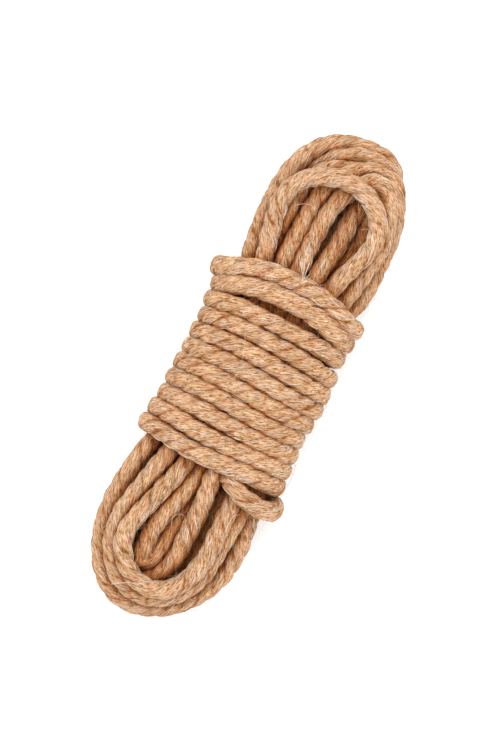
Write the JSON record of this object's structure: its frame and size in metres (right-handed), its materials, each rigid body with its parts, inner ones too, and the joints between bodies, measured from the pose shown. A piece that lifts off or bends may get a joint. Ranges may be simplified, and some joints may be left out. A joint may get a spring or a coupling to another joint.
{
  "type": "hank of linen rope",
  "caption": "Hank of rope: long loops laid side by side, wound round the waist with the rope's own last length and lying on its back.",
  "frame": {"origin": "middle of the hank's underside, on the surface it rests on", "axes": "+Y along the hank towards the end with the raised front eye, +X to the right seen from the front with +Y up, +Z up from the surface to the front of the winding"},
  "size_m": [0.0546, 0.1686, 0.0346],
  "materials": {
    "linen_rope": "coarse and hairy, matte"
  },
  "bodies": {
    "root": {"rope_hank": "linen_rope"}
  },
  "joints": []
}
